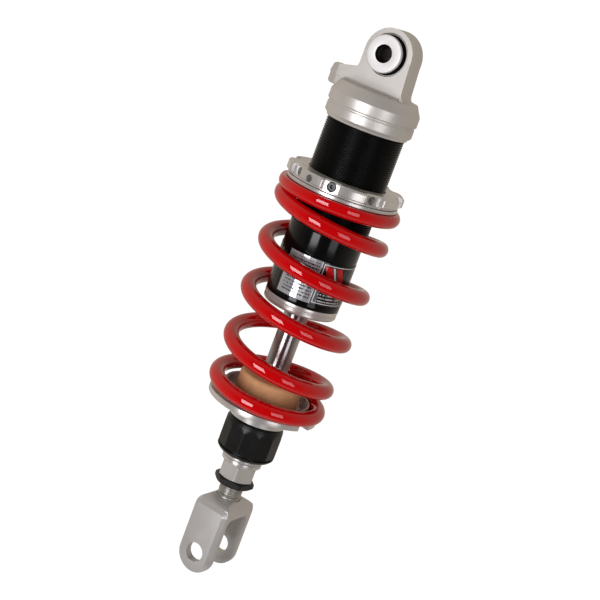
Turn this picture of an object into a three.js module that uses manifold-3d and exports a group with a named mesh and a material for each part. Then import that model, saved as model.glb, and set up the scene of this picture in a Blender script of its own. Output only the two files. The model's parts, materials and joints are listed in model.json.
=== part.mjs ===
/**
 * Coil-over rear shock absorber for a motorcycle, in millimetres, +Z up along the damper's axis.
 *
 * The origin is the middle of the upper eye. Both mounting bolts run along Y. The damper hangs down
 * from the eye: threaded body, preload ring, coil spring, rod, lower spring seat, rebound knob,
 * length adjuster and clevis. The gas plug's boss points to -X.
 */
import * as THREE from 'three';
import { mergeVertices } from 'three/addons/utils/BufferGeometryUtils.js';
import Module from 'manifold-3d';

const wasm = await Module();
wasm.setup();

// ---------------------------------------------------------------- driving dimensions (mm)

const GAP = 0.3; // clearance between pieces that touch
const PIN_TO_PIN = 342; // bolt to bolt, fully extended
const STROKE = 48; // rod travel until the bump stop all but meets the seal head

const EYE = { radius: 16.2, thickness: 15, bore: 13.1, collar: 11.5, width: 27, bolt: 5.2 };
const CAP = { shoulderTop: -22.9, shoulderBottom: -29.7, bottom: -45.8, radius: 28.7, skirt: 28.1 };
const LUG_FOOT = { left: -22, right: 17.5, fillet: 1.8 }; // fillets where the eye's slab meets the cap
const BOSS = { reach: 28.8, top: -15.7, step: -22.2, bottom: -28.8, radius: 7.5, waist: 0.7 };
const GAS_PORT = { height: -19, radius: 3.1, inner: 21.5, passage: 1.5 };
const TUBE = { thread: 25, smooth: 24.3, bore: 22, top: -28.3, threadEnd: -112.5, bottom: -160.2 };
const LABEL = { top: -128.7, bottom: -156.4, recess: 0.3, thickness: 0.25, wrap: 320 };
const HEAD = { top: -146, collar: -160.5, bottom: -166.7, radius: 24.3, nose: 21.7 };
const RING = { top: -79, step: -85.7, bottom: -86.6, floor: 33.8, lobe: 37.9, rim: 35.2 };
const LOBES = { count: 8, angle: -53.5, half: 13.5, flank: 0.5 }; // degrees
const RING_HOLES = { height: -82.6, radius: 2.6, bottom: 27, screw: 3.1, pin: 2.2 };
const SEAT = { top: -86.9, face: -89, bottom: -93, radius: 36.2 };
const SPRING = { radius: 35, wire: 5, top: -92.5, bottom: -229.3, pitch: 32.9, grind: 1.8 };
const SPRING_TURNS = { first: -0.45, last: 5.55, ramp: 1.6, shift: 0.13, startAngle: -64 };
const ROD = { radius: 8, shoulder: -139, top: -115, bottom: -258, spigot: 5, bore: 2.6 };
const PISTON = { top: -126, bottom: -136, radius: 21.3 };
const FLOAT = { top: -52, bottom: -64, radius: 21.6 };
const LOWER = { face: -232.8, flange: -236.4, bottom: -245.6, radius: 36.7, neck: 19.5, rim: -226 };
const LOWER_CUP = { floor: -234.4, inner: 27.4, outer: 28.9 };
const LOWER_SLOT = { width: 10, angle: -9.5, from: 24 };
const FOOT = { top: -241.5, shoulder: -245.9, flange: 16.5, core: 12.5, bottom: -274.4 };
const KNOB = { top: -246.2, shoulder: -252.8, groove: -267.4, bottom: -271.2, radius: 19.8, flats: 12 };
const HEX = { top: -278, bottom: -289, flats: 22, spigot: 9.7, spigotTop: -266 };
const NUT = { top: -289.3, bottom: -293.7, flats: 24 };
const STUD = { radius: 7.9, bore: 8.3, top: -263, bottom: -312 };
const CLEVIS = { top: -303, width: 26, across: 37, slot: 25, slotTop: -313.5, slotCorner: 4, bolt: 6.4 };
const CROWN = { radius: 17, flat: 5, corner: 6, panelTop: -306.8, panelCorner: 5, chamfer: 2.8 };

const FINE = 32; // sides of a large turned piece
const PLAIN = 16; // sides of a small or inner turned piece

// ---------------------------------------------------------------- finishes

const FINISHES = {
  satinAluminium: { color: 0xc4c2bd, roughness: 0.42, metalness: 0.9 },
  blackAnodised: { color: 0x151515, roughness: 0.35, metalness: 0.5 },
  redPowderCoat: { color: 0xc8060e, roughness: 0.22, metalness: 0.0 },
  chrome: { color: 0xd8d8da, roughness: 0.08, metalness: 1.0 },
  steel: { color: 0x8f8f90, roughness: 0.35, metalness: 1.0 },
  blackOxide: { color: 0x1c1c1e, roughness: 0.45, metalness: 0.7 },
  bronze: { color: 0x9a7a48, roughness: 0.5, metalness: 0.8 },
  rubber: { color: 0x17181a, roughness: 0.75, metalness: 0.0 },
  tanFoam: { color: 0xd09a62, roughness: 0.8, metalness: 0.0 },
  whitePlastic: { color: 0xe6e4de, roughness: 0.55, metalness: 0.0 },
  label: { color: 0xbfc2c6, roughness: 0.4, metalness: 0.1 },
};

// ---------------------------------------------------------------- shape helpers

const radians = THREE.MathUtils.degToRad;
const ACROSS_Y = new THREE.Matrix4().makeBasis(
  new THREE.Vector3(1, 0, 0), new THREE.Vector3(0, 0, 1), new THREE.Vector3(0, -1, 0));
const ACROSS_X = new THREE.Matrix4().makeBasis(
  new THREE.Vector3(0, 1, 0), new THREE.Vector3(0, 0, 1), new THREE.Vector3(1, 0, 0));

/** Joins shared corners, drops faces without area and turns every face outward. */
function closed(geometry) {
  const bare = new THREE.BufferGeometry();
  bare.setAttribute('position', geometry.attributes.position.clone());
  if (geometry.index) bare.setIndex(geometry.index.clone());
  const merged = mergeVertices(bare, 1e-4);
  const corner = (i) => new THREE.Vector3().fromBufferAttribute(merged.attributes.position, i);
  const faces = [];
  let volume = 0;
  for (let i = 0; i < merged.index.count; i += 3) {
    const [a, b, c] = [0, 1, 2].map((k) => merged.index.getX(i + k));
    if (a === b || b === c || c === a) continue;
    faces.push([a, b, c]);
    volume += corner(a).dot(corner(b).cross(corner(c)));
  }
  merged.setIndex(faces.flatMap(([a, b, c]) => (volume < 0 ? [a, c, b] : [a, b, c])));
  return merged;
}

/** A piece turned about Z. Its outline closes on itself unless it starts and ends on the axis. */
function turned(outline, sides = PLAIN) {
  const onAxis = outline[0][0] === 0 && outline.at(-1)[0] === 0;
  const loop = onAxis ? outline : [...outline, outline[0]];
  const points = loop.map(([radius, z]) => new THREE.Vector2(radius, z));
  return closed(new THREE.LatheGeometry(points, sides).rotateX(Math.PI / 2));
}

/** A plain ring about Z with small chamfers on its outer edges. */
function ring(inner, outer, top, bottom, chamfer = 0, sides = PLAIN) {
  const outside = chamfer
    ? [[outer - chamfer, top], [outer, top - chamfer], [outer, bottom + chamfer], [outer - chamfer, bottom]]
    : [[outer, top], [outer, bottom]];
  return turned([[inner, top], ...outside, [inner, bottom]], sides);
}

/** A round bar about Z. */
function bar(radius, top, bottom, sides = PLAIN) {
  return turned([[0, top], [radius, top], [radius, bottom], [0, bottom]], sides);
}

/** Turns a Z piece to lie along Y, its old top toward -Y. */
const alongY = (geometry) => geometry.rotateX(Math.PI / 2);

/** Turns a Z piece to point outward from the axis at an angle, its old +Z outward, at height z. */
function radial(geometry, degrees, z) {
  return geometry.rotateY(Math.PI / 2).rotateZ(radians(degrees)).translate(0, 0, z);
}

/** An extrusion of a flat outline, from z = bottom up to z = top. */
function prism(shape, top, bottom, curveSegments = 8) {
  const options = { depth: top - bottom, bevelEnabled: false, curveSegments };
  return closed(new THREE.ExtrudeGeometry(shape, options).translate(0, 0, bottom));
}

/** An extrusion centred on the origin along Y (outline in X, Z) or along X (outline in Y, Z). */
function slab(shape, thickness, basis, curveSegments = 8, chamfer = 0) {
  const options = {
    depth: thickness - 2 * chamfer, curveSegments, bevelEnabled: chamfer > 0,
    bevelThickness: chamfer, bevelSize: chamfer, bevelOffset: -chamfer, bevelSegments: 1,
  };
  const plate = new THREE.ExtrudeGeometry(shape, options);
  return closed(plate.translate(0, 0, chamfer - thickness / 2).applyMatrix4(basis));
}

/** A regular polygon measured across its flats; a flat faces the given angle. */
function polygon(sides, acrossFlats, flatAngle = 0) {
  const cornerRadius = acrossFlats / 2 / Math.cos(Math.PI / sides);
  const corners = Array.from({ length: sides }, (_, i) => {
    const angle = radians(flatAngle) + ((i + 0.5) * 2 * Math.PI) / sides;
    return new THREE.Vector2(cornerRadius * Math.cos(angle), cornerRadius * Math.sin(angle));
  });
  return new THREE.Shape(corners);
}

function toSolid(geometry) {
  const mesh = new wasm.Mesh({
    numProp: 3,
    vertProperties: new Float32Array(geometry.attributes.position.array),
    triVerts: new Uint32Array(geometry.index.array),
  });
  return new wasm.Manifold(mesh);
}

function toGeometry(solid) {
  const mesh = solid.getMesh();
  const geometry = new THREE.BufferGeometry();
  geometry.setAttribute('position', new THREE.BufferAttribute(mesh.vertProperties.slice(), 3));
  geometry.setIndex(new THREE.BufferAttribute(mesh.triVerts.slice(), 1));
  return geometry;
}

const combine = (operation) => (first, ...others) =>
  toGeometry(others.reduce((body, other) => body[operation](toSolid(other)), toSolid(first)));
const join = combine('add');
const cut = combine('subtract');
const common = combine('intersect');

const shock = new THREE.Group();
shock.name = 'rear_shock_absorber';

function add(name, geometry, finish) {
  geometry.computeVertexNormals();
  const mesh = new THREE.Mesh(geometry, new THREE.MeshStandardMaterial(FINISHES[finish]));
  mesh.name = name;
  shock.add(mesh);
}

// ---------------------------------------------------------------- upper eye and top cap

/** The slab that stands on the cap: round eye, nearly straight sides and the gas boss's upper half. */
function eyeOutline() {
  const sunk = CAP.shoulderTop - 1.5;
  const outline = new THREE.Shape();
  outline.moveTo(EYE.radius, 0);
  outline.lineTo(EYE.radius, -2);
  outline.lineTo(LUG_FOOT.right, -18.7);
  outline.quadraticCurveTo(LUG_FOOT.right + 0.6, -22.2, LUG_FOOT.right + 4, CAP.shoulderTop);
  outline.lineTo(LUG_FOOT.right + 4, sunk);
  outline.lineTo(-24, sunk);
  outline.lineTo(-24, BOSS.step);
  outline.lineTo(-BOSS.reach, BOSS.step);
  outline.lineTo(-BOSS.reach, BOSS.top);
  outline.lineTo(-EYE.radius - 1.6, -13);
  outline.quadraticCurveTo(-EYE.radius - 0.2, -12.6, -EYE.radius, -11);
  outline.lineTo(-EYE.radius, 0);
  outline.absarc(0, 0, EYE.radius, Math.PI, 0, true);
  return outline;
}

/** A strip in Y, Z that fills the corner between the slab's faces and the cap with a hollow curve. */
function lugFootOutline() {
  const half = EYE.thickness / 2;
  const { fillet } = LUG_FOOT;
  const outline = new THREE.Shape();
  outline.moveTo(half - 1, CAP.shoulderTop - 0.5);
  outline.lineTo(half + fillet, CAP.shoulderTop - 0.5);
  outline.lineTo(half + fillet, CAP.shoulderTop);
  outline.absarc(half + fillet, CAP.shoulderTop + fillet, fillet, -Math.PI / 2, -Math.PI, true);
  outline.lineTo(half - 1, CAP.shoulderTop + fillet);
  return outline;
}

function topCap() {
  const head = turned([
    [0, CAP.shoulderTop], [24.9, CAP.shoulderTop], [CAP.radius, CAP.shoulderBottom],
    [CAP.radius, -36], [CAP.radius - 1.1, -36.4], [CAP.radius - 1.1, -37.2], [CAP.skirt, -37.6],
    [CAP.skirt, -43], [26.1, CAP.bottom], [0, CAP.bottom],
  ], FINE);
  const tubeSocket = turned([
    [0, -27], [12, -27], [TUBE.bore, -28], [TUBE.thread + GAP, -28], [TUBE.thread + GAP, -50], [0, -50],
  ], FINE);
  const footLength = LUG_FOOT.right - LUG_FOOT.left;
  const footMiddle = (LUG_FOOT.right + LUG_FOOT.left) / 2;
  const footFront = slab(lugFootOutline(), footLength, ACROSS_X, 3).translate(footMiddle, 0, 0);
  const footRear = footFront.clone().rotateZ(Math.PI).translate(2 * footMiddle, 0, 0);
  const bossEnd = bar(BOSS.radius, BOSS.top, BOSS.step).translate(-BOSS.reach, 0, 0);
  const waist = bar(BOSS.radius, BOSS.step + 0.5, BOSS.bottom).scale(1, BOSS.waist, 1);
  const waistRoot = new THREE.BoxGeometry(10, 2 * BOSS.radius * BOSS.waist, BOSS.step + 0.5 - BOSS.bottom);
  waistRoot.translate(5 - BOSS.reach, 0, (BOSS.step + 0.5 + BOSS.bottom) / 2);
  const gasPort = join(
    radial(bar(GAS_PORT.radius, 40, GAS_PORT.inner), 180, GAS_PORT.height),
    bar(GAS_PORT.passage, GAS_PORT.height, -28, 12).translate(-20, 0, 0),
    radial(bar(GAS_PORT.passage, GAS_PORT.inner + 0.5, 18, 12), 180, GAS_PORT.height),
  );
  const eyeBore = alongY(bar(EYE.bore, 20, -20, FINE));
  const body = join(
    slab(eyeOutline(), EYE.thickness, ACROSS_Y), head, bossEnd, footFront, footRear,
    waist.translate(-BOSS.reach, 0, 0), closed(waistRoot),
  );
  return cut(body, tubeSocket, gasPort, eyeBore);
}

function buildEye() {
  const half = EYE.thickness / 2;
  add('top_cap', topCap(), 'satinAluminium');
  add('eye_bush_shell', alongY(ring(12.2, EYE.bore - GAP, half - GAP, GAP - half)), 'steel');
  const rubber = [[8.5, 6.6], [11.9, 6.2], [11.9, -6.2], [8.5, -6.6], [9.5, -5.4], [9.5, 5.4]];
  add('eye_bush_rubber', alongY(turned(rubber)), 'rubber');
  add('eye_inner_sleeve', alongY(ring(EYE.bolt, 8.2, half - 0.5, 0.5 - half)), 'steel');
  const face = EYE.width / 2;
  const collar = alongY(turned([
    [EYE.bolt, face], [EYE.collar - 0.4, face], [EYE.collar, face - 0.4], [EYE.collar, face - 2],
    [10, half + 1], [10, half - 0.2], [EYE.bolt, half - 0.2],
  ]));
  add('eye_collar_front', collar, 'satinAluminium');
  add('eye_collar_rear', collar.clone().rotateZ(Math.PI), 'satinAluminium');
}

function buildGasPlug() {
  const radius = GAS_PORT.radius - 0.2;
  const plug = cut(
    turned([[0, 35.4], [radius - 0.4, 35.4], [radius, 35], [radius, 24], [0, 24]]),
    prism(polygon(6, 2.5), 37, 32.6),
  );
  add('gas_plug', radial(plug, 180, GAS_PORT.height), 'steel');
}

// ---------------------------------------------------------------- damper body

function buildBody() {
  const { thread, smooth, bore, top, threadEnd, bottom } = TUBE;
  add('body_tube', turned([
    [bore, top], [thread - 0.8, top], [thread, top - 0.8],
    [thread, -30], [thread - 2, -30], [thread - 2, -32.8], [thread, -32.8],
    [thread, threadEnd], [smooth, threadEnd - 0.8],
    [smooth, LABEL.top + GAP], [smooth - LABEL.recess, LABEL.top + GAP],
    [smooth - LABEL.recess, LABEL.bottom - GAP], [smooth, LABEL.bottom - GAP],
    [smooth, bottom], [bore, bottom],
  ], FINE), 'blackAnodised');

  const half = radians(LABEL.wrap / 2);
  const inner = smooth - LABEL.recess + GAP;
  const wrap = new THREE.Shape();
  wrap.absarc(0, 0, inner + LABEL.thickness, -half, half, false);
  wrap.absarc(0, 0, inner, half, -half, true);
  const label = prism(wrap, LABEL.top, LABEL.bottom, 16).rotateZ(radians(-64));
  add('body_label', label, 'label');

  add('cap_oring', ring(thread - 1.7, thread, -30.3, -32.5, 0.5, FINE), 'rubber');

  add('floating_piston', turned([
    [0, FLOAT.top - 4], [16, FLOAT.top - 4], [17, FLOAT.top], [FLOAT.radius, FLOAT.top],
    [FLOAT.radius, -56.2], [19.4, -56.2], [19.4, -59.8], [FLOAT.radius, -59.8],
    [FLOAT.radius, FLOAT.bottom], [0, FLOAT.bottom],
  ]), 'satinAluminium');
  add('floating_piston_oring', ring(19.7, FLOAT.radius, -56.6, -59.4, 0.8), 'rubber');
}

function buildSealHead() {
  const { top, collar, bottom, radius, nose } = HEAD;
  add('seal_head', turned([
    [8.4, top], [nose - 0.6, top], [nose, top - 0.6], [nose, -149], [nose - 2, -149], [nose - 2, -152],
    [nose, -152], [nose, collar], [radius, collar], [radius, -162.8], [radius - 1, -163.2],
    [radius - 1, -163.8], [radius - 0.4, -164.2], [radius - 0.4, bottom + 0.6], [radius - 1, bottom],
    [11.9, bottom], [11.9, -162.2], [8.4, -162.2], [8.4, -161.4], [11.4, -161.4], [11.4, -157.2],
    [8.4, -157.2], [8.4, -156.6], [9.9, -156.6], [9.9, -147.4], [8.4, -147.4],
  ]), 'satinAluminium');
  add('seal_head_oring', ring(nose - 1.7, nose - 0.1, -149.3, -151.7, 0.6), 'rubber');
  add('guide_bush', ring(ROD.radius + GAP, 9.6, -147.7, -156.3), 'bronze');
  const lipSeal = [[9.6, -157.5], [11.1, -157.5], [11.1, -161.1], [8.3, -161.1], [8.3, -160.1], [9.2, -159.6]];
  add('rod_seal', turned(lipSeal), 'rubber');
  const wiper = [[9, -162.5], [11.6, -162.5], [11.6, -165.6], [10, -165.6], [8.3, -167.2], [8.3, -165.6]];
  add('wiper_seal', turned(wiper), 'rubber');
}

// ---------------------------------------------------------------- preload ring and upper seat

/** The castellated outline: wide round lobes with flat-floored recesses between them. */
function lobedOutline() {
  const pitch = 360 / LOBES.count;
  const recessHalf = pitch / 2 - LOBES.half - LOBES.flank;
  const floorCorner = RING.floor / Math.cos(radians(recessHalf));
  const outline = new THREE.Shape();
  const toFloor = (degrees) =>
    outline.lineTo(floorCorner * Math.cos(radians(degrees)), floorCorner * Math.sin(radians(degrees)));
  for (let i = 0; i < LOBES.count; i += 1) {
    const middle = LOBES.angle + i * pitch;
    outline.absarc(0, 0, RING.lobe, radians(middle - LOBES.half), radians(middle + LOBES.half), false);
    toFloor(middle + pitch / 2 - recessHalf);
    toFloor(middle + pitch / 2 + recessHalf);
  }
  return outline;
}

function buildPreload() {
  const { top, step, bottom, lobe, rim } = RING;
  const bore = TUBE.thread + GAP;
  const pitch = 360 / LOBES.count;
  const recessAngle = LOBES.angle - pitch / 2;
  const hole = (radius, depth, degrees) => radial(bar(radius, 40, depth, 12), degrees, RING_HOLES.height);
  const lobed = common(
    prism(lobedOutline(), top, step - 0.1, 3),
    turned([
      [0, top], [lobe - 0.8, top], [lobe, top - 0.8], [lobe, step + 1], [lobe - 1.4, step + 0.3],
      [lobe - 1.4, step - 0.1], [0, step - 0.1],
    ], FINE),
  );
  const flange = turned([[0, step], [rim, step], [rim, bottom + 0.3], [rim - 0.3, bottom], [0, bottom]], FINE);
  const holes = Array.from({ length: LOBES.count - 1 }, (_, i) =>
    hole(RING_HOLES.radius, RING_HOLES.bottom, recessAngle + (i + 1) * pitch));
  add('preload_ring', cut(
    join(lobed, flange),
    bar(bore, top + 1, bottom - 1, FINE),
    ...holes,
    hole(RING_HOLES.screw, 20, recessAngle),
    hole(RING_HOLES.pin, 28, LOBES.angle - pitch),
  ), 'satinAluminium');
  const screw = cut(
    turned([[0, 33], [2.2, 33], [2.7, 32.5], [2.7, 28.2], [2.2, 27.7], [0, 27.7]], 12),
    prism(polygon(6, 2.6), 36, 30.4),
  );
  add('ring_lock_screw', radial(screw, recessAngle, RING_HOLES.height), 'steel');
  add('ring_lock_pad', radial(bar(2.1, 27.4, 25.6, 12), recessAngle, RING_HOLES.height), 'whitePlastic');
  add('upper_spring_seat', turned([
    [bore, SEAT.top], [SEAT.radius, SEAT.top], [SEAT.radius, SEAT.face], [29.4, SEAT.face],
    [28.9, SEAT.bottom], [bore, SEAT.bottom],
  ], FINE), 'satinAluminium');
}

// ---------------------------------------------------------------- coil spring

/** Left-hand helix whose pitch eases to zero over the closed coil at each end. */
class SpringLine extends THREE.Curve {
  getPoint(t, target = new THREE.Vector3()) {
    const { first, last, startAngle } = SPRING_TURNS;
    const turn = first + t * (last - first);
    const angle = radians(startAngle) + turn * 2 * Math.PI;
    return target.set(
      SPRING.radius * Math.cos(angle), SPRING.radius * Math.sin(angle), SpringLine.height(turn));
  }

  static height(turn) {
    const { ramp } = SPRING_TURNS;
    const active = (SPRING.top - SPRING.bottom) / SPRING.pitch;
    const middle = (SPRING_TURNS.first + SPRING_TURNS.last) / 2 + SPRING_TURNS.shift;
    const travelled = (from) => {
      const x = THREE.MathUtils.clamp((turn - from) / ramp + 0.5, 0, 1);
      const past = Math.max(turn - from - ramp / 2, 0);
      return ramp * (x ** 3 - x ** 4 / 2) + past;
    };
    return SPRING.top - SPRING.pitch * (travelled(middle - active / 2) - travelled(middle + active / 2));
  }
}

function buildSpring() {
  const section = new THREE.Shape();
  section.absarc(0, 0, SPRING.wire, 0, 2 * Math.PI, false);
  const coil = new THREE.ExtrudeGeometry(section, {
    steps: 108, curveSegments: 4, bevelEnabled: false, extrudePath: new SpringLine(),
  });
  const groundTop = SPRING.top + SPRING.wire - SPRING.grind;
  const groundBottom = SPRING.bottom - SPRING.wire + SPRING.grind;
  add('coil_spring', common(closed(coil), bar(45, groundTop, groundBottom)), 'redPowderCoat');
}

// ---------------------------------------------------------------- rod and working piston

function buildRod() {
  const { radius, shoulder, top, bottom, spigot, bore } = ROD;
  add('piston_rod', turned([
    [1.3, top], [spigot, top], [spigot, shoulder], [radius, shoulder],
    [radius, bottom], [bore, bottom], [bore, -128], [1.3, -126.5],
  ]), 'chrome');
  add('adjuster_needle', turned([[0, -129], [0.6, -129], [2.2, -134], [2.2, -256.5], [0, -256.5]], 12), 'steel');
  const passage = (i) => bar(2, -120, -140, 8).translate(0, 12.5, 0).rotateZ(radians(i * 60));
  const piston = turned([
    [spigot + GAP, PISTON.top], [PISTON.radius, PISTON.top], [PISTON.radius, -128],
    [20.2, -128], [20.2, -134], [PISTON.radius, -134], [PISTON.radius, PISTON.bottom],
    [spigot + GAP, PISTON.bottom],
  ]);
  add('main_piston', cut(piston, ...[0, 1, 2, 3, 4, 5].map(passage)), 'satinAluminium');
  add('piston_band', ring(20.5, 21.7, -128.3, -133.7), 'bronze');
  const shims = (side, near, far) => turned([
    [spigot + GAP, near], [17, near], [17, near + side], [12, near + side], [9, far], [spigot + GAP, far],
  ]);
  add('compression_shims', shims(1, -125.7, -123), 'steel');
  add('rebound_shims', shims(-1, PISTON.bottom - GAP, -138.6), 'steel');
  const nut = cut(prism(polygon(6, 15), -116.5, -122.7), bar(spigot + GAP, -110, -130));
  add('piston_nut', nut, 'steel');
  add('top_out_bumper', ring(ROD.radius + GAP, 13, -139.3, -145.6, 0.8), 'rubber');
}

// ---------------------------------------------------------------- bump stop and lower seat

function buildLowerSeat() {
  const { face, flange, bottom, radius, neck, rim } = LOWER;
  const { floor, inner, outer } = LOWER_CUP;
  const rodHole = ROD.radius + 0.6;
  const stopTop = HEAD.bottom - STROKE - 1.3;
  const stopBottom = floor + GAP;
  add('bump_stop', turned([
    [ROD.radius + GAP, stopTop], [19.6, stopTop], [21, stopTop - 1.6], [21, stopBottom + 1.2],
    [19.8, stopBottom], [ROD.radius + GAP, stopBottom],
  ]), 'tanFoam');
  const plate = turned([
    [rodHole, floor], [inner, floor], [inner, rim], [outer - 0.5, rim], [outer, rim - 1],
    [outer, face], [radius - 0.4, face], [radius, face - 0.4], [radius, flange + 0.4],
    [radius - 0.4, flange], [neck, flange], [neck, bottom], [FOOT.flange + GAP, bottom],
    [FOOT.flange + GAP, FOOT.top + GAP], [rodHole, FOOT.top + GAP],
  ], FINE);
  const slot = new THREE.Shape();
  slot.moveTo(LOWER_SLOT.from, LOWER_SLOT.width / 2);
  slot.lineTo(LOWER_SLOT.from, -LOWER_SLOT.width / 2);
  slot.lineTo(60, -LOWER_SLOT.width / 2);
  slot.lineTo(60, LOWER_SLOT.width / 2);
  const opening = prism(slot, -220, -240).rotateZ(radians(LOWER_SLOT.angle));
  add('lower_spring_seat', cut(plate, opening), 'satinAluminium');
}

// ---------------------------------------------------------------- rod foot and rebound knob

function buildFoot() {
  const { top, shoulder, flange, core, bottom } = FOOT;
  const foot = turned([
    [ROD.radius + GAP, top], [flange, top], [flange, shoulder], [core, shoulder], [core, -271.4],
    [core - 0.9, -271.4], [core - 0.9, bottom], [HEX.spigot + GAP, bottom], [HEX.spigot + GAP, -270.4],
    [10.9, -270.4], [10.9, -268.8], [HEX.spigot + GAP, -268.8], [HEX.spigot + GAP, -262],
    [ROD.radius + GAP, -261],
  ]);
  const pocketHeight = -249.5;
  add('rod_foot', cut(foot, radial(bar(1.6, 14, 9.2, 8), 0, pocketHeight)), 'satinAluminium');
  add('detent_ball', new THREE.SphereGeometry(1.3, 10, 6).translate(12.1, 0, pocketHeight), 'steel');
  add('detent_spring', radial(ring(0.6, 1.1, 10.6, 9.4, 0, 8), 0, pocketHeight), 'steel');
  add('knob_retainer', ring(core - 0.6, 13.6, -271.7, -274.5, 0.4), 'satinAluminium');
}

function buildKnob() {
  const { top, shoulder, groove, bottom, radius, flats } = KNOB;
  const bore = FOOT.core + GAP;
  const faceted = common(
    turned([[0, top], [17.2, top], [19, -249], [radius, shoulder], [radius, groove], [0, groove]], FINE),
    prism(polygon(flats, 38.2, 28), top + 1, groove - 1),
  );
  const skirt = turned([
    [0, groove + 0.2], [18, groove + 0.2], [18, groove - 0.6], [19.2, groove - 1],
    [19.2, -269], [17.5, bottom], [0, bottom],
  ], FINE);
  const hollow = turned([
    [0, top + 1], [bore, top + 1], [bore, -247.6], [13.8, -247.6], [13.8, -251.4], [bore, -251.4],
    [bore, bottom - 1], [0, bottom - 1],
  ]);
  add('rebound_knob', cut(join(faceted, skirt), hollow), 'blackAnodised');
}

// ---------------------------------------------------------------- length adjuster and clevis

function buildLengthAdjuster() {
  const hexagon = common(
    prism(polygon(6, HEX.flats, 26), HEX.top, HEX.bottom),
    turned([[0, HEX.top], [12.3, HEX.top], [12.9, HEX.top - 0.6], [12.9, HEX.bottom], [0, HEX.bottom]]),
  );
  const spigot = turned([
    [0, HEX.spigotTop], [HEX.spigot, HEX.spigotTop], [HEX.spigot, -268.6], [8.9, -268.6], [8.9, -270.6],
    [HEX.spigot, -270.6], [HEX.spigot, HEX.top - 0.1], [0, HEX.top - 0.1],
  ]);
  const bore = bar(STUD.bore, HEX.spigotTop + 1, HEX.bottom - 1);
  add('length_adjuster', cut(join(hexagon, spigot), bore), 'satinAluminium');
  add('adjuster_clip', ring(9.2, 10.6, -269.1, -270.1), 'steel');
  add('adjuster_washer', ring(HEX.spigot + GAP, 13.4, -274.8, -277.7, 0.4), 'satinAluminium');

  const nut = common(
    prism(polygon(6, NUT.flats, 48.5), NUT.top, NUT.bottom),
    turned([[0, NUT.top], [12.4, NUT.top], [14, -290.3], [14, -292.7], [12.4, NUT.bottom], [0, NUT.bottom]]),
  );
  add('lock_nut', cut(nut, bar(STUD.bore, NUT.top + 1, NUT.bottom - 1)), 'blackOxide');
  add('clevis_stud', turned([
    [0, STUD.top], [STUD.radius - 1, STUD.top], [STUD.radius, STUD.top - 1], [STUD.radius, STUD.bottom],
    [0, STUD.bottom],
  ]), 'steel');
}

/** Ear outline in X, Z: parallel sides, a round lower end and rounded upper corners. */
function earOutline(top, corner) {
  const half = CLEVIS.width / 2;
  const outline = new THREE.Shape();
  outline.moveTo(half, top - corner);
  outline.absarc(half - corner, top - corner, corner, 0, Math.PI / 2, false);
  outline.absarc(corner - half, top - corner, corner, Math.PI / 2, Math.PI, false);
  outline.absarc(0, -PIN_TO_PIN - 1.5, half, Math.PI, 2 * Math.PI, false);
  return outline;
}

/** Fork outline in Y, Z: a flat crown falling away to the ears in a large arc. */
function crownOutline() {
  const half = CLEVIS.across / 2;
  const reach = Math.asin((half - CROWN.flat) / CROWN.radius);
  const centre = CLEVIS.top - CROWN.radius;
  const outline = new THREE.Shape();
  outline.moveTo(half, -PIN_TO_PIN - 20);
  outline.lineTo(half, centre + CROWN.radius * Math.cos(reach));
  outline.absarc(CROWN.flat, centre, CROWN.radius, Math.PI / 2 - reach, Math.PI / 2, false);
  outline.absarc(-CROWN.flat, centre, CROWN.radius, Math.PI / 2, Math.PI / 2 + reach, false);
  outline.lineTo(-half, -PIN_TO_PIN - 20);
  return outline;
}

/** Slot outline in Y, Z with rounded upper corners. */
function slotOutline() {
  const half = CLEVIS.slot / 2;
  const corner = CLEVIS.slotCorner;
  const outline = new THREE.Shape();
  outline.moveTo(half, -PIN_TO_PIN - 30);
  outline.lineTo(half, CLEVIS.slotTop - corner);
  outline.absarc(half - corner, CLEVIS.slotTop - corner, corner, 0, Math.PI / 2, false);
  outline.absarc(corner - half, CLEVIS.slotTop - corner, corner, Math.PI / 2, Math.PI, false);
  outline.lineTo(-half, -PIN_TO_PIN - 30);
  return outline;
}

function buildClevis() {
  const { corner, panelTop, panelCorner, chamfer } = CROWN;
  const panels = slab(earOutline(panelTop, panelCorner), CLEVIS.across, ACROSS_Y, 12, chamfer);
  const middle = slab(earOutline(CLEVIS.top + 0.5, corner), CLEVIS.across - 2 * chamfer, ACROSS_Y, 12);
  const fork = common(slab(crownOutline(), CLEVIS.width + 10, ACROSS_X, 6), join(panels, middle));
  add('clevis', cut(
    fork,
    slab(slotOutline(), CLEVIS.width + 10, ACROSS_X, 4),
    alongY(bar(CLEVIS.bolt, 30, -30)).translate(0, 0, -PIN_TO_PIN),
    bar(STUD.bore, CLEVIS.top + 5, CLEVIS.slotTop - 5),
  ), 'satinAluminium');
}

buildEye();
buildGasPlug();
buildBody();
buildSealHead();
buildPreload();
buildSpring();
buildRod();
buildLowerSeat();
buildFoot();
buildKnob();
buildLengthAdjuster();
buildClevis();

export default shock;
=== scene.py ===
import json
import math

import bmesh
import bpy
from mathutils import Matrix, Vector


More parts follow.
